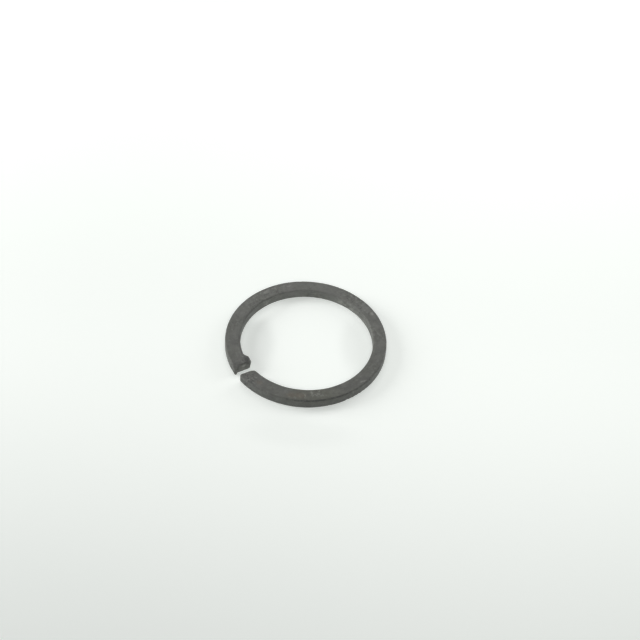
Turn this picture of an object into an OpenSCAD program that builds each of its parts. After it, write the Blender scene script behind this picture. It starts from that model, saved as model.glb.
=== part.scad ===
/* [Ring] */
// Outside diameter of the ring, lying free
outer_d = 24; // [18:0.5:40]
// Mean width of the section, from the bore to the outside
section_w = 2.15; // [1.6:0.05:3]
// Thickness between the two flat faces
thickness = 1.6; // [1:0.1:3]
// Radius of the four rolled edges of the section
edge_r = 0.25; // [0.1:0.05:0.3]
// Distance of the bore's centre from the outside's centre, away from the gap
bore_shift = 0.15; // [0:0.05:0.4]

/* [Gap] */
// Width of the gap between the two sheared ends
gap_w = 1.6; // [0.8:0.1:3]
// Angle by which the shear cut leans from the radius, in degrees
cut_skew = 4.5; // [0:0.5:8]
// Rollover radius at the inner corner of the plain end
plain_rollover_r = 0.55; // [0.2:0.05:0.8]
// Rollover radius at the inner corner of the lug end
lug_rollover_r = 0.2; // [0.1:0.05:0.4]

/* [Lug] */
// Height of the lug's crest above the bore
lug_h = 0.55; // [0.4:0.05:0.8]
// Length of the crest, from the flank to the middle of the gap
crest_len = 1.65; // [1.5:0.05:3]
// Angle between the lug's flank and the bore, in degrees
flank_angle = 40; // [30:1:50]
// Radius that blends the flank into the bore
root_r = 0.8; // [0.3:0.05:1]
// Radius between the flank and the crest
corner_r = 0.45; // [0.2:0.05:0.5]

/* [Hidden] */
$fn = 96;
edge_steps = 6;
root_steps = 5;
corner_steps = 4;

outer_r = outer_d / 2;
bore_r = outer_r - section_w;
crest_r = bore_r - lug_h;
// The sweeps of the outside and of the bore overlap inside the section
sweep_depth = 0.75 * section_w;

// The cut is laid out about the middle of the wall, on the +X axis
mid_wall = outer_r - (section_w + bore_shift) / 2;
cut_len = 2 * (section_w + lug_h + bore_shift);
// Centre of the bore, seen along and across the cut
bore_along = -(mid_wall + bore_shift) * cos(cut_skew);
bore_across = -(mid_wall + bore_shift) * sin(cut_skew);
// Each rollover reaches this far into the gap beside it
gap_lap = 0.005;

// The lug is laid out about the bore's centre, from the sharp corner of crest and flank
crest_a = -crest_len / crest_r * 180 / PI;
flank_a = crest_a + flank_angle;
vertex = polar(crest_r, crest_a);
corner_c = vertex + polar(corner_r / cos(flank_angle / 2), crest_a + flank_angle / 2);
corner_step = flank_angle / corner_steps;
// Length down the flank to the point where the root's arc touches it
flank_fall = crest_r * sin(flank_angle);
root_at = sqrt(pow(flank_fall, 2) + pow(bore_r - root_r, 2) - pow(crest_r, 2) - pow(root_r, 2)
    + 2 * crest_r * root_r * cos(flank_angle)) - flank_fall;
root_c = vertex + polar(root_at, flank_a - 90) - polar(root_r, flank_a);
root_a = atan2(root_c[1], root_c[0]);
root_step = (flank_a - root_a) / root_steps;

function polar(r, a) = [r * cos(a), r * sin(a)];
// A quarter circle of the given radius, clockwise from the given angle
function quarter(centre, r, from) =
    [for (i = [0:edge_steps]) centre + polar(r, from - 90 * i / edge_steps)];
// Where two neighbouring tangents of an arc meet
function corners(centre, r, step, angles) =
    [for (a = angles) centre + polar(r / cos(step / 2), a + step / 2)];
// One side of the section: two rolled edges, and metal behind them
side = concat(
    quarter([edge_r, edge_r], edge_r, 270),
    quarter([edge_r, thickness - edge_r], edge_r, 180),
    [[sweep_depth, thickness], [sweep_depth, 0]]
);

// The outside of the ring
module outside() {
    rotate_extrude()
        polygon([for (p = side) [outer_r - p[0], p[1]]]);
}

// The wall of a round bore, with its two rolled edges
module bore_wall(r) {
    rotate_extrude()
        polygon([for (p = side) [r + p[0], p[1]]]);
}

// The lug seen from above: root, flank and corner, and its metal up to the middle of the gap
module lug_plan() {
    polygon(concat(
        [polar(bore_r + section_w / 3, root_a)],
        [root_c + polar(root_r, root_a + root_step) + polar(root_r / 3, root_a + root_step - 90)],
        corners(root_c, root_r, root_step, [for (i = [1:root_steps - 1]) root_a + root_step * i]),
        corners(corner_c, -corner_r, corner_step, [for (i = [corner_steps - 1:-1:1]) crest_a + corner_step * i]),
        [corner_c - polar(corner_r, crest_a + corner_step) + polar(corner_r, crest_a + corner_step + 90)],
        [polar(crest_r - lug_h, 0), polar(bore_r + section_w / 3, 0)]
    ));
}

// The lug: its crest is a length of a smaller bore
module lug() {
    intersection() {
        bore_wall(crest_r);
        linear_extrude(thickness)
            lug_plan();
    }
}

// What the shear rolled off the inner corner of one end, seen along and across the cut
module rollover(hand, r, inner_r) {
    across = hand * (gap_w / 2 + r - gap_lap);
    along = bore_along + sqrt(pow(inner_r + r - gap_lap, 2) - pow(across - bore_across, 2));
    bore_a = atan2(bore_across - across, bore_along - along);
    translate([along, across])
        difference() {
            polygon([[0, 0], [0, -hand * 1.2 * r], [-2 * r, -hand * 1.2 * r], polar(1.2 * r, bore_a)]);
            circle(r);
        }
}

// The gap, seen from above
module gap() {
    square([cut_len, gap_w], center = true);
    rollover(1, plain_rollover_r, bore_r);
    rollover(-1, lug_rollover_r, crest_r);
}

module ring() {
    color("#5d5d59")
        difference() {
            union() {
                outside();
                translate([-bore_shift, 0, 0]) {
                    bore_wall(bore_r);
                    lug();
                }
            }
            translate([mid_wall, 0, -thickness])
                rotate([0, 0, -cut_skew])
                    linear_extrude(3 * thickness)
                        gap();
        }
}

ring();
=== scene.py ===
import math
import random

import bmesh
import bpy
from mathutils import Matrix, Vector, noise


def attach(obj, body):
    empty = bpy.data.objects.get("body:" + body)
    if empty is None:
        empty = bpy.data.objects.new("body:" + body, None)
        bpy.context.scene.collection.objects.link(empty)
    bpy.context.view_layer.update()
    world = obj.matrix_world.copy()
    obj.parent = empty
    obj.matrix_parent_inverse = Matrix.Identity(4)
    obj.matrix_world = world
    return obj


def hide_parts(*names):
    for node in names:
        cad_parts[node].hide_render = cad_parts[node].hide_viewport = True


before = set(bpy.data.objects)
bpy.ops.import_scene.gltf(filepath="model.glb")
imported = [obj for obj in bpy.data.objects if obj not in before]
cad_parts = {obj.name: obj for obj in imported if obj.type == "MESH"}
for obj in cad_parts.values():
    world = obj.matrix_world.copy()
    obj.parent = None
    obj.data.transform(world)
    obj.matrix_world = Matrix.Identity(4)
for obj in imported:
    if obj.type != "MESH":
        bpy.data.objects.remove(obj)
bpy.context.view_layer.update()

# Sizes of the ring, in millimetres
MM = 0.001
OUTSIDE_RADIUS = 12.0
SECTION_WIDTH = 2.15
THICKNESS = 1.6
EDGE_RADIUS = 0.25
BORE_SHIFT = 0.15
BORE_RADIUS = OUTSIDE_RADIUS - SECTION_WIDTH
BORE_CENTRE = Vector((-BORE_SHIFT, 0))
MID_WALL = OUTSIDE_RADIUS - (SECTION_WIDTH + BORE_SHIFT) / 2

GAP_WIDTH = 1.6
CUT_SKEW = math.radians(4.5)
PLAIN_ROLLOVER = 0.55
LUG_ROLLOVER = 0.2
SHEARED_EDGE = 0.035

LUG_HEIGHT = 0.55
CREST_RADIUS = BORE_RADIUS - LUG_HEIGHT
CREST_LENGTH = 1.65
FLANK_ANGLE = math.radians(40)
ROOT_RADIUS = 0.8
CORNER_RADIUS = 0.45

# How finely the ring is divided
EDGE_SEGMENTS = 6
FLAT_STEP = 0.275
BORE_STEPS = 300
ROOT_STEPS = 7
CORNER_STEPS = 6
CREST_STEPS = 4
# Near the ends, neighbouring sections lean over this angle and are at least this far apart
END_REACH = math.radians(25)
END_SPACING = 0.055
# The sections in the two rounded inner corners lie this far behind the cut
PLAIN_DEPTHS = (0, 0.06, 0.13, 0.22, 0.33, 0.45)
LUG_DEPTHS = (0, 0.055, 0.115)
# Squares on the sheared faces, counted from the middle of the wall
END_STEP = 0.16
END_CUTS = range(-11, 8)


def polar(radius, angle):
    return Vector((radius * math.cos(angle), radius * math.sin(angle)))


def turn(start, end):
    """The end angle, brought within half a turn of the start."""
    return start + (end - start + math.pi) % (2 * math.pi) - math.pi


def fade(value):
    """Eases from 0 to 1."""
    value = min(1, max(0, value))
    return value * value * (3 - 2 * value)


# The ring's two outlines, seen from above
def arc(centre, radius, start, end, steps, metal_inside):
    """Points along an arc, each with the direction that leads into the metal."""
    points = []
    for i in range(steps + 1):
        out = polar(1, start + (end - start) * i / steps)
        points.append((centre + radius * out, -out if metal_inside else out))
    return points


def cut_line(side):
    """A sheared end seen from above: a point on it, its direction outwards, and its metal's side."""
    along = polar(1, -CUT_SKEW)
    into = Vector((-along.y, along.x)) * side
    return Vector((MID_WALL, 0)) + into * GAP_WIDTH / 2, along, into


def rollover_arc(side, radius, inner_radius):
    """Where the shear rounded an end's inner corner: the arc's centre and its two directions."""
    point, along, into = cut_line(side)
    start = point + into * radius - BORE_CENTRE
    down = start.dot(along)
    reach = inner_radius + radius
    centre = start + along * (math.sqrt(down * down - start.length_squared + reach * reach) - down)
    to_cut = math.atan2(-into.y, -into.x)
    to_bore = math.atan2(-centre.y, -centre.x)
    return centre + BORE_CENTRE, to_cut, to_bore


def rolled_corner(side, radius, inner_radius, depths):
    """An end's rounded inner corner in steps away from the cut, and the arc's own centre."""
    centre, to_cut, to_bore = rollover_arc(side, radius, inner_radius)
    sweep = turn(to_cut, to_bore) - to_cut
    angles = [math.copysign(math.acos(1 - depth / radius), sweep) for depth in depths]
    # The arc's own end takes the place of a section just before it
    angles = [angle for angle in angles if abs(angle) < 0.9 * abs(sweep)] + [sweep]
    along = cut_line(side)[1]
    corner = []
    for i, angle in enumerate(angles):
        # In a corner tighter than the rolled edge, the directions turn slowly, so that they don't cross
        if radius > EDGE_RADIUS:
            way = along.lerp(-polar(1, to_cut + angle), min(1, i / 2))
        else:
            way = along.lerp(-polar(1, to_cut + sweep), i / (len(angles) - 1))
        corner.append((centre + radius * polar(1, to_cut + angle), way.normalized()))
    return corner, centre


def inner_outline():
    """The inside of the ring, from the plain end round to the lug end."""
    outline, centre = rolled_corner(1, PLAIN_ROLLOVER, BORE_RADIUS, PLAIN_DEPTHS)
    bore_start = math.atan2(centre.y, centre.x + BORE_SHIFT)

    crest_angle = -CREST_LENGTH / CREST_RADIUS
    flank_normal = crest_angle + FLANK_ANGLE
    vertex = polar(CREST_RADIUS, crest_angle)
    fall = CREST_RADIUS * math.sin(FLANK_ANGLE)
    root_at = math.sqrt(fall ** 2 + (BORE_RADIUS - ROOT_RADIUS) ** 2 - CREST_RADIUS ** 2 - ROOT_RADIUS ** 2
                        + 2 * CREST_RADIUS * ROOT_RADIUS * math.cos(FLANK_ANGLE)) - fall
    root = vertex + polar(root_at, flank_normal - math.pi / 2) - polar(ROOT_RADIUS, flank_normal)
    root_angle = math.atan2(root.y, root.x)
    outline += arc(BORE_CENTRE, BORE_RADIUS, bore_start, root_angle + 2 * math.pi, BORE_STEPS, False)[1:]
    outline += arc(root + BORE_CENTRE, ROOT_RADIUS, root_angle, flank_normal, ROOT_STEPS, False)[1:]

    corner_at = math.sqrt(fall ** 2 + 2 * CREST_RADIUS * CORNER_RADIUS * (1 - math.cos(FLANK_ANGLE))) - fall
    corner = vertex + polar(corner_at, flank_normal - math.pi / 2) + polar(CORNER_RADIUS, flank_normal)
    corner_angle = math.atan2(corner.y, corner.x)
    outline += arc(corner + BORE_CENTRE, CORNER_RADIUS, flank_normal + math.pi, corner_angle + math.pi,
                   CORNER_STEPS, True)

    rolled, centre = rolled_corner(-1, LUG_ROLLOVER, CREST_RADIUS, LUG_DEPTHS)
    crest_end = math.atan2(centre.y, centre.x + BORE_SHIFT)
    outline += arc(BORE_CENTRE, CREST_RADIUS, corner_angle, crest_end, CREST_STEPS, False)[1:-1]
    return outline + rolled[::-1]


def outer_corner_angle(side):
    """Where one sheared end's line meets the outside."""
    point, along, into = cut_line(side)
    down = point.dot(along)
    corner = point + along * (math.sqrt(down * down - point.length_squared + OUTSIDE_RADIUS ** 2) - down)
    return math.atan2(corner.y, corner.x)


def outer_outline(inner):
    """The outside of the ring, point for point with the inside, its last ones at the sheared corners."""
    angles = [math.atan2(point.y, point.x) for point, _ in inner]
    for i in range(1, len(angles)):
        angles[i] = turn(angles[i - 1], angles[i])
    first = outer_corner_angle(1) - angles[0]
    last = outer_corner_angle(-1) + 2 * math.pi - angles[-1]
    # The sections near an end lean, so that they come to lie along its cut
    places = []
    for angle in angles:
        near_first = max(0, 1 - (angle - angles[0]) / END_REACH)
        near_last = max(0, 1 - (angles[-1] - angle) / END_REACH)
        places.append(angle + first * near_first + last * near_last)
    # Neighbouring sections stay clear of each other
    clear = END_SPACING / OUTSIDE_RADIUS
    for i in range(1, len(places) // 2):
        places[i] = max(places[i], places[i - 1] + clear)
        places[-1 - i] = min(places[-1 - i], places[-i] - clear)
    outline = [(OUTSIDE_RADIUS * polar(1, angle), -polar(1, angle)) for angle in places]
    along = cut_line(1)[1]
    outline[0] = (outline[0][0], -along)
    outline[-1] = (outline[-1][0], -along)
    return outline


# The ring's mesh, in millimetres
def side_points(start, end):
    """One side of the section, from its sharp corner up to the next one, its flat divided evenly."""
    start, end = Vector(start), Vector(end)
    length = (end - start).length
    flat = length - 2 * EDGE_RADIUS
    parts = round(flat / FLAT_STEP)
    return [start] + [start.lerp(end, (EDGE_RADIUS + flat * i / parts) / length) for i in range(1, parts)]


def section_points():
    """The points round the ring's cross-section: a rectangle with four rolled corners."""
    mesh = bmesh.new()
    low, high, top = BORE_RADIUS, OUTSIDE_RADIUS, THICKNESS
    places = [(low, 0, 0), (high, 0, 0), (high, 0, top), (low, 0, top)]
    loop, corners = [], []
    for i in range(4):
        side = [mesh.verts.new(point) for point in side_points(places[i], places[(i + 1) % 4])]
        corners.append(side[0])
        loop += side
    mesh.faces.new(loop)
    bmesh.ops.bevel(mesh, geom=corners, offset=EDGE_RADIUS, offset_type='OFFSET', segments=EDGE_SEGMENTS,
                    profile=0.5, affect='VERTICES', material=-1)
    points = [vert.co.copy() for face in mesh.faces for vert in face.verts]
    mesh.free()
    return points


def lay_section(mesh, section, inner, outer):
    """Lays one section between a point of the inside and its partner on the outside."""
    deep = EDGE_RADIUS + 0.001
    (inner_point, inner_way), (outer_point, outer_way) = inner, outer
    verts = []
    for point in section:
        from_bore, from_outside = point.x - BORE_RADIUS, OUTSIDE_RADIUS - point.x
        if from_bore < deep:
            flat = inner_point + inner_way * from_bore
        elif from_outside < deep:
            flat = outer_point + outer_way * from_outside
        else:
            share = (from_bore - EDGE_RADIUS) / (SECTION_WIDTH - 2 * EDGE_RADIUS)
            flat = (inner_point + inner_way * EDGE_RADIUS).lerp(outer_point + outer_way * EDGE_RADIUS, share)
        verts.append(mesh.verts.new((flat.x, flat.y, point.z)))
    return verts


def sweep_section(mesh):
    """Lays the section all the way round the ring, and closes it at both ends."""
    section = section_points()
    inner = inner_outline()
    laid = [lay_section(mesh, section, *places) for places in zip(inner, outer_outline(inner))]
    mesh.faces.new(laid[0])
    mesh.faces.new(laid[-1])
    for near, far in zip(laid, laid[1:]):
        for i in range(len(section)):
            mesh.faces.new((near[i - 1], near[i], far[i], far[i - 1]))
    bmesh.ops.recalc_face_normals(mesh, faces=mesh.faces)


def divide_end(mesh, end, side):
    """Cuts one sheared face into small squares, so that it can be torn."""
    point, along, into = cut_line(side)
    cuts = [(Vector((0, 0, END_STEP * i)), Vector((0, 0, 1))) for i in range(1, round(THICKNESS / END_STEP))]
    for i in END_CUTS:
        cuts.append(((point + along * END_STEP * i).to_3d(), along.to_3d()))
    patch = [end]
    for place, facing in cuts:
        # Each part once and in order, so that the mesh comes out the same each time
        parts = dict.fromkeys(patch)
        for face in patch:
            parts.update(dict.fromkeys([*face.edges, *face.verts]))
        made = bmesh.ops.bisect_plane(mesh, geom=list(parts), dist=0.01, plane_co=place, plane_no=facing)
        patch = [part for part in made["geom"] if isinstance(part, bmesh.types.BMFace)]
    return {vert for face in patch for vert in face.verts}


# What the shear left at the lug's end, in millimetres
BURR_LENGTH = 0.24
BURR_SPREAD = 0.03
CREST_PUSH = 0.06
CREST_BULGE = 0.13
CREST_DROP = 0.09
RIM_DROP = 0.05
CORNER_DROP = 0.34
LUG_ROUGHNESS = 0.015
# And at the plain end
PLAIN_DROP = 0.04
PLAIN_PUSH = 0.03
PLAIN_LEAST = 0.01
PLAIN_BURR = 0.04
PLAIN_ROUGHNESS = 0.012
# And at both: the depth of the break, how far behind the face it fades out, and how fine it is
TORN_DEPTH = 0.08
TORN_REACH = 0.5
TORN_DETAIL = 2.6


def reach_into_end(vert, side):
    """How far a point lies behind one sheared face, and how far along it outwards."""
    point, along, into = cut_line(side)
    reach = vert.co.xy - point
    return reach.dot(into), reach.dot(along)


def near_end(back, across):
    """Whether a point belongs to this end, and not to the other side of the ring."""
    return -0.01 < back < 2 and abs(across) <= 3


def broken_away(vert, into, back, seed):
    """How far the break reaches at this point, from 0 to 1, fading out behind the sheared face."""
    on_face = vert.co - into.to_3d() * back
    rough = abs(noise.fractal(on_face * TORN_DETAIL + Vector(seed), 0.9, 2.2, 3))
    return min(1, rough) * fade(1 - back / TORN_REACH)


def tear_lug_end(mesh):
    """The lug's end: torn towards the outside, with a burr at its lower outer corner."""
    along, into = cut_line(-1)[1:]
    lug_side = CREST_RADIUS - MID_WALL - BORE_SHIFT
    outer_side = OUTSIDE_RADIUS - MID_WALL
    for vert in mesh.verts:
        back, across = reach_into_end(vert, -1)
        if not near_end(back, across):
            continue
        height = vert.co.z
        tip = fade(1 - (across - lug_side) / 0.9)
        high = fade(height / THICKNESS)
        burr = fade((0.50 - outer_side + across) / 0.26) * fade(1.15 - height / 0.9) * fade(1 - back / 0.3)
        forward = BURR_LENGTH * burr + CREST_PUSH * tip * high * fade(1 - back / 0.6)
        outward = CREST_BULGE * tip * fade(1.15 - height / 1.2) * fade(1 - back / 0.7) + BURR_SPREAD * burr
        drop = CREST_DROP * high * fade(1 - (across - lug_side) / 1.3) * fade(1 - back / 1.1)
        drop += RIM_DROP * fade(height - 0.6) * fade(1 - back / 0.35)
        drop += CORNER_DROP * fade(1 - (outer_side - across) / 1.3) * high * fade(1 - back / 0.8)
        torn = fade((across - lug_side) / 1.6 - 0.25) * TORN_DEPTH + LUG_ROUGHNESS
        forward -= torn * broken_away(vert, into, back, (3, 1, 4))
        shift = along * outward - into * forward
        vert.co += Vector((shift.x, shift.y, -drop))


def tear_plain_end(mesh):
    """The plain end: rounded where the blade went in, torn towards the outside."""
    into = cut_line(1)[2]
    outer_side = OUTSIDE_RADIUS - MID_WALL
    for vert in mesh.verts:
        back, across = reach_into_end(vert, 1)
        if not near_end(back, across):
            continue
        high = fade(vert.co.z / 0.8 - 0.9)
        inner = fade((outer_side - across) / 1.5)
        drop = (PLAIN_LEAST + PLAIN_DROP * inner) * high * fade(1 - back / 0.7)
        shift = (PLAIN_LEAST + PLAIN_PUSH * inner) * high * fade(1 - back / 0.4)
        torn = fade((across + 1) / 1.4) * TORN_DEPTH + PLAIN_ROUGHNESS
        shift += torn * broken_away(vert, into, back, (0, 0, 0))
        low_corner = fade(1 - (outer_side - across) / 0.3) * fade(1 - vert.co.z / 0.8)
        shift -= PLAIN_BURR * low_corner * fade(1 - back / TORN_REACH)
        vert.co += Vector((into.x * shift, into.y * shift, -drop))


# Swells and ripples of the wire, and how far its surface lies below the true size on average
SWELL = 0.013
RIPPLE = 0.005
UNDERSIZE = 0.008


def roll_unevenly(mesh):
    """The small swells that coiling leaves in drawn wire."""
    mesh.normal_update()
    for vert in mesh.verts:
        swell = SWELL * noise.noise(vert.co * 0.7) + RIPPLE * noise.noise(vert.co * 2.7)
        vert.co += vert.normal * (swell - UNDERSIZE)


# A row of knocks lies low on the outside, a quarter of the way round
KNOCKED_AT = (86, 89, 92.5, 96, 99.5, 103)
KNOCK_DEPTH = 0.11
SMALL_KNOCKS = 34
KNOCK_INSET = 0.07


def nick_edges(mesh):
    """Small knocks along the rolled edges."""
    chance = random.Random(7)
    knocks = [(angle, True, False, KNOCK_DEPTH) for angle in KNOCKED_AT]
    for _ in range(SMALL_KNOCKS):
        knocks.append((chance.uniform(12, 348), chance.random() < 0.6, chance.random() < 0.5,
                       chance.uniform(0.015, 0.035)))
    for angle, outside, above, depth in knocks:
        way = polar(1, math.radians(angle))
        if outside:
            flat = way * (OUTSIDE_RADIUS - KNOCK_INSET)
        else:
            flat = BORE_CENTRE + way * (BORE_RADIUS + KNOCK_INSET)
        place = Vector((flat.x, flat.y, THICKNESS - KNOCK_INSET if above else KNOCK_INSET))
        size = chance.uniform(0.24, 0.36)
        push = Vector((-way.x, -way.y, 0)) if outside else Vector((way.x, way.y, 0))
        push.z = 1 if place.z < THICKNESS / 2 else -1
        push.normalize()
        for vert in mesh.verts:
            gap = (vert.co - place).length
            if gap < size:
                vert.co += push * depth * fade(1 - gap / size)


# An edge wears from this angle on, and fully when it is this much sharper
SHARP_FROM = math.radians(17)
SHARP_OVER = math.radians(15)


def mark_wear(mesh):
    """Notes how far each point stands on a rolled or sheared edge, for the rubbed finish and the painted shade under
    the outer top edge.
    """
    mesh.normal_update()
    layer = mesh.verts.layers.float["wear"]
    for vert in mesh.verts:
        rise = min(1, abs(vert.normal.z))
        rolled = 2 * rise * math.sqrt(1 - rise * rise)
        sheared = max(edge.calc_face_angle_signed(0) for edge in vert.link_edges) - SHARP_FROM
        vert[layer] = min(1, max(rolled, sheared / SHARP_OVER))


def sheared_ends(mesh):
    """The two flat faces at the ends: the only ones with many corners."""
    return [face for face in mesh.faces if len(face.verts) > 8]


def make_ring():
    mesh = bmesh.new()
    mesh.verts.layers.float.new("wear")
    mesh.verts.layers.float.new("sheared")
    sweep_section(mesh)
    rims = [edge for face in sheared_ends(mesh) for edge in face.edges]
    bmesh.ops.bevel(mesh, geom=rims, offset=SHEARED_EDGE, offset_type='OFFSET', segments=2,
                    profile=0.5, affect='EDGES', clamp_overlap=True, material=-1)
    ends = {1 if face.calc_center_median().y > 0 else -1: face for face in sheared_ends(mesh)}
    sheared = {side: divide_end(mesh, ends[side], side) for side in (1, -1)}
    layer = mesh.verts.layers.float["sheared"]
    for vert in sheared[1] | sheared[-1]:
        vert[layer] = 1
    # The cuts leave the faces in any order, so they are sorted by their corners
    mesh.verts.index_update()
    mesh.faces.sort(key=lambda face: float(sum(vert.index ** 2 for vert in face.verts)))
    tear_plain_end(mesh)
    tear_lug_end(mesh)
    roll_unevenly(mesh)
    nick_edges(mesh)
    mark_wear(mesh)
    bmesh.ops.scale(mesh, vec=(MM, MM, MM), verts=mesh.verts)
    bmesh.ops.remove_doubles(mesh, verts=mesh.verts, dist=0.0002 * MM)
    bmesh.ops.recalc_face_normals(mesh, faces=mesh.faces)
    # A closed ring whose volume comes out negative is inside out
    if mesh.calc_volume(signed=True) < 0:
        bmesh.ops.reverse_faces(mesh, faces=mesh.faces)
    for face in mesh.faces:
        face.smooth = True
    data = bpy.data.meshes.new("snap_ring")
    mesh.to_mesh(data)
    mesh.free()
    piece = bpy.data.objects.new("snap_ring", data)
    bpy.context.scene.collection.objects.link(piece)
    return piece


# The camera looks at the ring from this side, and the lamps, the painted light and shade on the ring and the board's
# painted glow follow it
SEEN_FROM = math.radians(217)

# Colours of the finish
COAT_DARK = (0.103, 0.104, 0.097)
COAT_LIGHT = (0.142, 0.143, 0.132)
COAT_PAINTED_LIT = (0.205, 0.207, 0.194)
COAT_WARM = (0.128, 0.131, 0.115)
COAT_OLIVE = (0.128, 0.131, 0.098)
PATCH_DARK = (0.072, 0.074, 0.070)
LINE_DARK = (0.076, 0.077, 0.073)
WALL_PAINTED_SHADE = (0.060, 0.061, 0.058)
FLECK_LIGHT = (0.235, 0.238, 0.222)
FLECK_DARK = (0.062, 0.064, 0.060)
GRAIN_LIGHT = (0.210, 0.212, 0.198)
SHADE_AND_FOLD_BLACK = (0.046, 0.048, 0.045)
PAINTED_HIGHLIGHT = (0.330, 0.334, 0.315)
RUST = (0.160, 0.122, 0.092)
BARE_STEEL = (0.300, 0.298, 0.278)

# Patches on the ring: angle, radius, height, length, width, lean and depth, in degrees and millimetres
UNEVEN_AREAS = ((272, 10.9, 1.2, 13, 4.0, 0, 5.0), (191, 10.9, 1.2, 11, 4.0, 0, 5.0),
                (10, 11.3, 1.4, 4.5, 3.0, 0, 4.0), (353, 10.0, 1.2, 3.4, 2.0, 0, 4.0))
# The first three folds are painted shade across the upper part of the lug's sheared face
FOLDS_AND_SHADE = ((355.6, 10.80, 1.40, 1.0, 1.3, 0, 0.40), (355.6, 11.15, 1.12, 1.0, 0.7, 0, 0.55),
         (355.6, 11.40, 0.70, 1.0, 0.5, 0, 0.70), (7.2, 11.22, 1.6, 0.45, 0.40),
         (8.6, 11.38, 1.6, 0.40, 0.36), (9.9, 11.55, 1.6, 0.45, 0.40), (11.7, 11.86, 1.5, 0.50, 0.45),
         (9.0, 12.0, 0.50, 0.7, 0.6, 0, 0.7), (14.5, 12.0, 0.50, 0.8, 0.6, 0, 0.6))
RUST_SPOTS = ((51.5, 10.95, 1.6, 2.6, 1.6), (45.5, 11.1, 1.6, 2.2, 1.4), (18.5, 11.0, 1.6, 1.6, 0.9, 30))
SCUFFS = ((61, 10.65, 1.6, 0.40, 1.5), (66.3, 10.6, 1.6, 0.42, 1.6, -16), (63.5, 10.9, 1.6, 0.40, 1.0, 35),
          (55.5, 11.0, 1.6, 0.45, 1.3, 24), (174.8, 11.4, 1.6, 1.10, 0.60), (250.7, 11.0, 1.6, 1.0, 0.6),
          (270, 11.1, 1.6, 1.5, 0.6, 12))
SHARP_SCUFFS = ((101.2, 11.45, 1.6, 1.0, 0.36, -14), (103.4, 11.65, 1.6, 0.9, 0.32, -14))
# Scuffs on the far part of the bore, which are also painted light that lightens it
BORE_SCUFFS_AND_LIGHT = ((172.6, 9.85, 0.6, 1.6, 0.8, 0, 1.4), (179, 9.85, 0.3, 3.0, 0.8, 0, 0.9),
               (203.7, 9.8, 0.8, 2.4, 0.8, 0, 1.2), (191, 9.8, 0.6, 2.2, 0.8, 0, 0.9),
               (274.5, 9.85, 0.6, 1.4, 0.8))


# Finishes
def add_node(tree, kind, inputs=None, **settings):
    """Adds a node, sets it, and fills or joins its inputs."""
    made = tree.nodes.new(kind)
    made.location = (220 * (len(tree.nodes) % 9) - 2200, 1200 - 240 * (len(tree.nodes) // 9))
    for name, value in settings.items():
        setattr(made, name, value)
    for name, value in (inputs or {}).items():
        if isinstance(value, bpy.types.NodeSocket):
            tree.links.new(value, made.inputs[name])
        else:
            made.inputs[name].default_value = value
    return made


def mottle(tree, place, size, detail=3.0, roughness=0.55):
    """A cloudy pattern whose patches are this many millimetres across."""
    inputs = {"Vector": place, "Scale": 1 / (size * MM), "Detail": detail, "Roughness": roughness}
    return add_node(tree, "ShaderNodeTexNoise", inputs).outputs[0]


def between(tree, value, low, high, start=0.0, end=1.0):
    """Eases from start to end while the value goes from low to high."""
    inputs = {"Value": value, "From Min": low, "From Max": high, "To Min": start, "To Max": end}
    return add_node(tree, "ShaderNodeMapRange", inputs, interpolation_type='SMOOTHSTEP').outputs[0]


def sums(tree, operation, first, second):
    made = add_node(tree, "ShaderNodeMath", operation=operation)
    for socket, value in zip(made.inputs, (first, second)):
        if isinstance(value, bpy.types.NodeSocket):
            tree.links.new(value, socket)
        else:
            socket.default_value = value
    return made.outputs[0]


def times(tree, first, second):
    return sums(tree, 'MULTIPLY', first, second)


def blend(tree, amount, first, second):
    """Goes from the first colour to the second by this amount."""
    made = add_node(tree, "ShaderNodeMix", data_type='RGBA')
    for socket, value in ((made.inputs[0], amount), (made.inputs[6], first), (made.inputs[7], second)):
        if isinstance(value, bpy.types.NodeSocket):
            tree.links.new(value, socket)
        elif isinstance(value, tuple):
            socket.default_value = (*value, 1)
        else:
            socket.default_value = value
    return made.outputs[2]


def mark(tree, place, angle, radius, height, length, width, lean=0.0, depth=1.0):
    """A soft-edged patch on the ring, 1 in its middle, sized along the ring, across it and upright."""
    turned = math.radians(angle)
    spot = polar(radius * MM, turned)
    inputs = {"Vector": place, "Location": (spot.x, spot.y, height * MM),
              "Rotation": (0, 0, turned + math.radians(90 + lean)),
              "Scale": (length / 2 * MM, width / 2 * MM, depth / 2 * MM)}
    local = add_node(tree, "ShaderNodeMapping", inputs, vector_type='TEXTURE').outputs[0]
    far = add_node(tree, "ShaderNodeVectorMath", {0: local}, operation='LENGTH').outputs["Value"]
    return between(tree, far, 1.0, 0.35)


def round_the_ring(tree, place):
    """A place's direction from the ring's centre, its radius and its height."""
    split = add_node(tree, "ShaderNodeSeparateXYZ", {"Vector": place})
    flat = add_node(tree, "ShaderNodeCombineXYZ", {"X": split.outputs["X"], "Y": split.outputs["Y"]}).outputs[0]
    radius = add_node(tree, "ShaderNodeVectorMath", {0: flat}, operation='LENGTH').outputs["Value"]
    way = add_node(tree, "ShaderNodeVectorMath", {0: flat}, operation='NORMALIZE').outputs["Vector"]
    return add_node(tree, "ShaderNodeSeparateXYZ", {"Vector": way}), radius, split.outputs["Z"]


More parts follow.
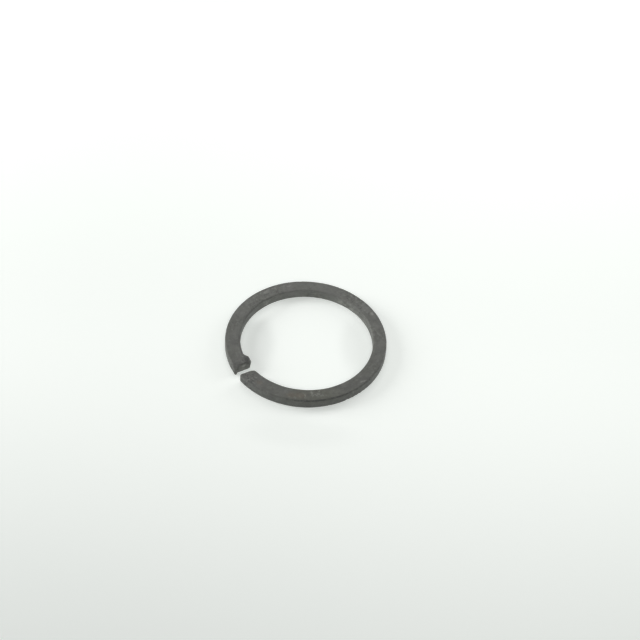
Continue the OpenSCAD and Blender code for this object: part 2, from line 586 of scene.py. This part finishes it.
def along_the_wire(tree, place, length, width):
    """Fine lines that run round the ring, as the drawing die leaves them."""
    turned, radius, height = round_the_ring(tree, place)
    lengthwise = OUTSIDE_RADIUS / length
    crosswise = 1 / (width * MM)
    lines = add_node(tree, "ShaderNodeCombineXYZ", {
        "X": times(tree, turned.outputs["X"], lengthwise),
        "Y": times(tree, turned.outputs["Y"], lengthwise),
        "Z": times(tree, radius, crosswise)}).outputs[0]
    inputs = {"Vector": lines, "W": times(tree, height, crosswise), "Scale": 1.0,
              "Detail": 2.0, "Roughness": 0.5}
    return add_node(tree, "ShaderNodeTexNoise", inputs, noise_dimensions='4D').outputs[0]


def largest(tree, values):
    found = values[0]
    for value in values[1:]:
        found = sums(tree, 'MAXIMUM', found, value)
    return found


def marks(tree, place, rows):
    """Several patches, the strongest of them at each point."""
    return largest(tree, [mark(tree, place, *row) for row in rows])


def phosphate_steel():
    """Spring steel with a dull dark phosphate finish, mottled, lightly scuffed and a little rusted, with painted
    light and shade in its colour.
    """
    material = bpy.data.materials.new("dark_spring_steel")
    material.use_nodes = True
    tree = material.node_tree
    shader = tree.nodes["Principled BSDF"]
    shader.location = (0, 1200)
    place = add_node(tree, "ShaderNodeTexCoord").outputs["Object"]
    wear = add_node(tree, "ShaderNodeAttribute", attribute_name="wear").outputs["Fac"]
    sheared = add_node(tree, "ShaderNodeAttribute", attribute_name="sheared").outputs["Fac"]

    radius, height = round_the_ring(tree, place)[1:]
    clouds = mottle(tree, place, 1.5, 5, 0.62)
    patches = mottle(tree, place, 0.55, 4, 0.6)
    tint = mottle(tree, place, 2.6, 2, 0.5)
    flecks = mottle(tree, place, 0.50, 4, 0.65)
    grain = mottle(tree, place, 0.16, 4, 0.6)
    fine = mottle(tree, place, 0.045, 3, 0.6)
    drawn = along_the_wire(tree, place, 2.6, 0.11)
    strayed = add_node(tree, "ShaderNodeTexNoise", {"Vector": place, "Scale": 1 / (0.45 * MM), "Detail": 2.0})
    strayed = add_node(tree, "ShaderNodeVectorMath", {0: strayed.outputs["Color"], 1: (0.5, 0.5, 0.5)},
                       operation='SUBTRACT').outputs[0]
    strayed = add_node(tree, "ShaderNodeVectorMath", {0: strayed, "Scale": 0.9 * MM}, operation='SCALE').outputs[0]
    ragged = add_node(tree, "ShaderNodeVectorMath", {0: place, 1: strayed}, operation='ADD').outputs[0]

    # Painted light: the coat is lighter on the side away from the camera
    turned = add_node(tree, "ShaderNodeMapping", {"Vector": place, "Rotation": (0, 0, SEEN_FROM)})
    seen = add_node(tree, "ShaderNodeSeparateXYZ", {"Vector": turned.outputs["Vector"]})
    depth = seen.outputs["Y"]
    coat = blend(tree, between(tree, clouds, 0.34, 0.66), COAT_DARK, COAT_LIGHT)
    coat = blend(tree, between(tree, depth, -0.012, 0.012, 0.06, 0.55), coat, COAT_PAINTED_LIT)
    coat = blend(tree, between(tree, tint, 0.38, 0.62, 0, 0.50), coat, COAT_WARM)
    olive = times(tree, mark(tree, ragged, 62, 10.9, 1.6, 12, 4, 0, 3.0), 0.40)
    coat = blend(tree, olive, coat, COAT_OLIVE)
    coat = blend(tree, between(tree, patches, 0.54, 0.70, 0, 0.34), coat, PATCH_DARK)
    coat = blend(tree, between(tree, drawn, 0.55, 0.72, 0, 0.30), coat, LINE_DARK)

    # Painted shade: the outside wall is a little darker than the flat faces, and the bore too towards its left and
    # right sides as the camera sees them
    painted_bore_shade = between(tree, sums(tree, 'ABSOLUTE', seen.outputs["X"], 0), 0.004, 0.009, 0, 0.30)
    painted_bore_shade = times(tree, painted_bore_shade, between(tree, radius, 0.0101, 0.0099))
    painted_wall_shade = largest(tree, [between(tree, radius, 0.0117, 0.0120, 0, 0.30), painted_bore_shade])
    coat = blend(tree, painted_wall_shade, coat, WALL_PAINTED_SHADE)

    # Rougher areas, where the finish took unevenly
    uneven = largest(tree, [marks(tree, ragged, UNEVEN_AREAS), between(tree, tint, 0.50, 0.64, 0.20, 0.7)])
    streaks = along_the_wire(tree, place, 1.1, 0.20)
    light = largest(tree, [between(tree, flecks, 0.54, 0.64, 0, 0.75), between(tree, streaks, 0.58, 0.70, 0, 0.6)])
    dark = largest(tree, [between(tree, flecks, 0.44, 0.34, 0, 0.75), between(tree, streaks, 0.42, 0.30, 0, 0.6)])
    light = times(tree, uneven, light)
    dark = times(tree, uneven, dark)
    coat = blend(tree, light, coat, FLECK_LIGHT)
    coat = blend(tree, dark, coat, FLECK_DARK)
    coat = blend(tree, between(tree, grain, 0.52, 0.72, 0, 0.30), coat, GRAIN_LIGHT)

    # Painted shade: a dark line under the top edge of the outside at the front, and a dark band across the upper
    # part of the lug's sheared face. Also a darker patch on the lug, dark folds at the plain end, and a dull outer
    # corner there
    scale = times(tree, wear, between(tree, radius, 0.0110, 0.0116))
    scale = times(tree, scale, mark(tree, ragged, 65, 11.6, 1.5, 11.5, 5, 0, 3.0))
    scale = times(tree, scale, between(tree, patches, 0.38, 0.58, 0.30, 0.95))
    lug_dark_patch = mark(tree, ragged, 355, 9.75, 1.1, 2.6, 1.5, 0, 3.0)
    scale = largest(tree, [scale, times(tree, lug_dark_patch, between(tree, flecks, 0.60, 0.44, 0.25, 0.70))])
    folds_and_shade = marks(tree, place, FOLDS_AND_SHADE)
    dull_corner = times(tree, mark(tree, place, 8.0, 12.0, 1.1, 3.2, 1.2, 0, 1.8), 0.34)
    scale = largest(tree, [scale, times(tree, folds_and_shade, 0.62), dull_corner])
    # The painted shade, the lug's dark patch and the folds darken the coat here
    coat = blend(tree, scale, coat, SHADE_AND_FOLD_BLACK)
    # Painted highlight: a light spot on the lug's sheared face
    painted_highlight = times(tree, mark(tree, place, 355.6, 10.45, 1.0, 1.0, 0.75, 0, 0.55), 0.75)
    coat = blend(tree, painted_highlight, coat, PAINTED_HIGHLIGHT)

    # Fine rust in a few spots
    rust_at = marks(tree, ragged, RUST_SPOTS)
    rust_at = largest(tree, [times(tree, rust_at, 0.42), between(tree, clouds, 0.66, 0.78, 0, 0.4)])
    rusty = times(tree, rust_at, between(tree, grain, 0.36, 0.60, 0.25, 1))
    coat = blend(tree, rusty, coat, RUST)

    # Bare steel, where the finish is scuffed, rubbed or sheared off. The scuffs on the far part of the bore are
    # painted light as well: they lighten the bore where it faces the camera
    scuffs_and_bore_light = largest(tree, [marks(tree, ragged, SCUFFS), marks(tree, place, SHARP_SCUFFS)])
    bore_scuffs_and_light = marks(tree, ragged, BORE_SCUFFS_AND_LIGHT)
    scuffs_and_bore_light = largest(tree, [times(tree, scuffs_and_bore_light, 0.58), times(tree, bore_scuffs_and_light, 0.60)])
    scuffs_and_bore_light = times(tree, scuffs_and_bore_light, between(tree, flecks, 0.36, 0.54, 0.40, 1))
    rubbed = times(tree, wear, between(tree, patches, 0.52, 0.64, 0.0, 0.28))
    dashes = between(tree, along_the_wire(tree, place, 0.9, 0.05), 0.70, 0.76, 0, 0.4)
    torn = times(tree, sheared, between(tree, patches, 0.42, 0.56, 0.08, 0.40))
    burnished = times(tree, sheared, between(tree, height, 0.0009, 0.0003, 0, 0.38))
    bare_and_bore_light = largest(tree, [scuffs_and_bore_light, rubbed, dashes, torn, burnished])
    colour = blend(tree, bare_and_bore_light, coat, BARE_STEEL)
    tree.links.new(colour, shader.inputs["Base Color"])
    tree.links.new(between(tree, bare_and_bore_light, 0, 1, 0.16, 0.85), shader.inputs["Metallic"])

    rough = between(tree, clouds, 0.35, 0.65, 0.60, 0.50)
    rough = sums(tree, 'SUBTRACT', rough, times(tree, bare_and_bore_light, 0.14))
    tree.links.new(sums(tree, 'ADD', rough, between(tree, grain, 0.4, 0.6, -0.04, 0.05)), shader.inputs["Roughness"])

    relief = times(tree, grain, 0.7)
    for pattern, share in ((fine, 0.25), (patches, 1.6), (drawn, 0.8)):
        relief = sums(tree, 'ADD', relief, times(tree, pattern, share))
    bump = add_node(tree, "ShaderNodeBump", {"Height": relief, "Distance": 0.022 * MM, "Strength": 0.8})
    tree.links.new(bump.outputs["Normal"], shader.inputs["Normal"])
    return material


# Soft shade on the board beside the ring, deeper than the lamps leave it, and less of it at the far left
SHADES = ((325, 7.0, 14.5, 6.6, 0.11), (148, 7.7, 14.5, 7.0, 0.08),
          (53, 16.6, 22, 7, 0.035), (278, 9.3, 10.5, 3.8, -0.08))


def pale_board():
    """White board that glows a little with painted light, more at the back than at the front and a little more to
    the right.
    """
    material = bpy.data.materials.new("pale_board")
    material.use_nodes = True
    tree = material.node_tree
    shader = tree.nodes["Principled BSDF"]
    shader.inputs["Base Color"].default_value = (0.80, 0.825, 0.80, 1)
    shader.inputs["Roughness"].default_value = 0.7
    shader.inputs["Emission Color"].default_value = (0.965, 1.0, 0.965, 1)
    place = add_node(tree, "ShaderNodeTexCoord").outputs["Object"]
    turned = add_node(tree, "ShaderNodeMapping", {"Vector": place, "Rotation": (0, 0, SEEN_FROM)})
    seen = add_node(tree, "ShaderNodeSeparateXYZ", {"Vector": turned.outputs["Vector"]})
    # Painted light: the board's glow, more at the back than at the front and more to the right
    painted_glow = sums(tree, 'ADD', between(tree, seen.outputs["Y"], -0.07, 0.0, 0.078, 0.312),
                between(tree, seen.outputs["X"], -0.04, 0.04, 0, 0.068))
    painted_glow = sums(tree, 'ADD', painted_glow, between(tree, seen.outputs["Y"], 0.005, 0.06, 0, 0.07))
    for angle, radius, length, width, amount in SHADES:
        shade = mark(tree, place, angle, radius, 0, length, width)
        painted_glow = sums(tree, 'SUBTRACT', painted_glow, times(tree, shade, amount))
    # Beyond the photograph's edges the board stays pale up to the horizon
    away = add_node(tree, "ShaderNodeVectorMath", {0: place}, operation='LENGTH').outputs["Value"]
    painted_glow = between(tree, away, 0.085, 0.20, painted_glow, 0.80)
    tree.links.new(painted_glow, shader.inputs["Emission Strength"])
    return material


# Floor, light and camera
def make_floor():
    mesh = bmesh.new()
    bmesh.ops.create_grid(mesh, x_segments=1, y_segments=1, size=1.5)
    data = bpy.data.meshes.new("floor")
    mesh.to_mesh(data)
    mesh.free()
    floor = bpy.data.objects.new("floor", data)
    floor.data.materials.append(pale_board())
    bpy.context.scene.collection.objects.link(floor)


def from_photo(x, y, z):
    """Turns a place laid out for the photograph into the ring's own frame."""
    return Matrix.Rotation(-SEEN_FROM, 3, 'Z') @ Vector((x, y, z))


# Each lamp's place in metres, as the photograph is seen, its width and its power
LAMPS = {
    "left_softbox": ((-0.33, 0.05, 0.13), 0.20, 0.77),
    "right_softbox": ((0.27, 0.20, 0.13), 0.20, 0.29),
    "back_softbox": ((0, 0.15, 0.22), 0.18, 0.13),
    "front_softbox": ((0.02, -0.21, 0.27), 0.26, 0.28),
}


def make_light(name, place, size, power):
    lamp = bpy.data.lights.new(name, 'AREA')
    lamp.shape = 'DISK'
    lamp.size = size
    lamp.energy = power
    holder = bpy.data.objects.new(name, lamp)
    holder.location = from_photo(*place)
    holder.rotation_euler = (-holder.location).to_track_quat('-Z', 'Y').to_euler()
    holder.visible_camera = False
    bpy.context.scene.collection.objects.link(holder)


def make_lights():
    for name, (place, size, power) in LAMPS.items():
        make_light(name, place, size, power)
    world = bpy.data.worlds.new("room")
    bpy.context.scene.world = world
    world.use_nodes = True
    tree = world.node_tree
    sky = tree.nodes["Background"]
    sky.inputs["Color"].default_value = (0.965, 1.0, 0.965, 1)
    # The room lights the ring dimly, and the camera sees it as pale as the board
    seen = add_node(tree, "ShaderNodeLightPath").outputs["Is Camera Ray"]
    tree.links.new(between(tree, seen, 0, 1, 0.17, 0.92), sky.inputs["Strength"])


# The camera, as it was fitted to the photograph: its aim and its distance are counted in ring radii
ELEVATION = math.radians(47.14)
ROLL = math.radians(3.79)
AIM_RIGHT = 0.1574
AIM_FORWARD = 0.3316
DISTANCE = 17.4
PICTURE_WIDTH = 640
FOCAL_LENGTH = 1400
SENSOR_WIDTH = 36


def make_camera():
    lens = bpy.data.cameras.new("camera")
    lens.sensor_width = SENSOR_WIDTH
    lens.lens = FOCAL_LENGTH * SENSOR_WIDTH / PICTURE_WIDTH
    lens.clip_start = 0.01
    lens.clip_end = 10
    rise, run = math.sin(ELEVATION), math.cos(ELEVATION)
    right = from_photo(1, 0, 0)
    up = from_photo(0, rise, run)
    back = from_photo(0, -run, rise)
    turned = Matrix((right, up, back)).transposed().to_4x4() @ Matrix.Rotation(ROLL, 4, 'Z')
    place = from_photo(AIM_RIGHT, AIM_FORWARD * rise - DISTANCE * run, AIM_FORWARD * run + DISTANCE * rise)
    camera = bpy.data.objects.new("camera", lens)
    camera.matrix_world = Matrix.Translation(place * (OUTSIDE_RADIUS * MM)) @ turned
    bpy.context.scene.collection.objects.link(camera)
    bpy.context.scene.camera = camera


bpy.context.scene.view_settings.view_transform = 'Standard'
make_camera()
make_lights()
make_floor()
snap_ring = make_ring()
snap_ring.data.materials.append(phosphate_steel())
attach(snap_ring, "root")
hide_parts("ring")
